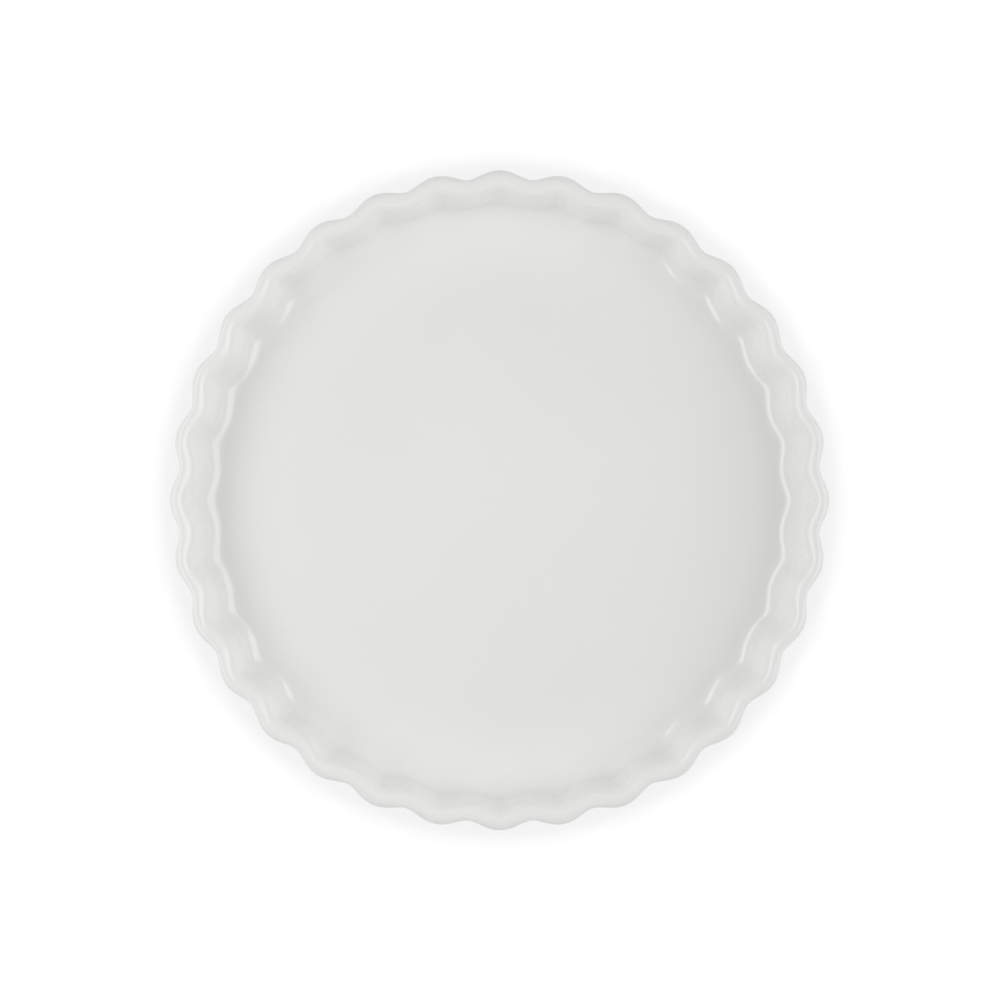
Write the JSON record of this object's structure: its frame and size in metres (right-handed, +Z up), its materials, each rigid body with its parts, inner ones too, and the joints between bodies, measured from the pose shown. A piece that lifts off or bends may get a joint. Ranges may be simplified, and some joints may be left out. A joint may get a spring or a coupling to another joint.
{
  "type": "tart dish",
  "caption": "Round fluted tart dish in white glazed stoneware, with a flaring scalloped wall, a thick rounded rim, a flat baking floor and a bare foot ring.",
  "frame": {"origin": "on the table, at the centre of the foot ring", "axes": "+Z up along the dish's axis; +X and +Y each run through a flute crest"},
  "size_m": [0.28, 0.28, 0.036],
  "materials": {
    "stoneware": "bare fired clay, matt and fine-grained",
    "white_glaze": "white glaze, glossy"
  },
  "bodies": {
    "root": {"stoneware_body": "stoneware", "glaze_coat": "white_glaze", "base_glaze": "white_glaze"}
  },
  "joints": []
}
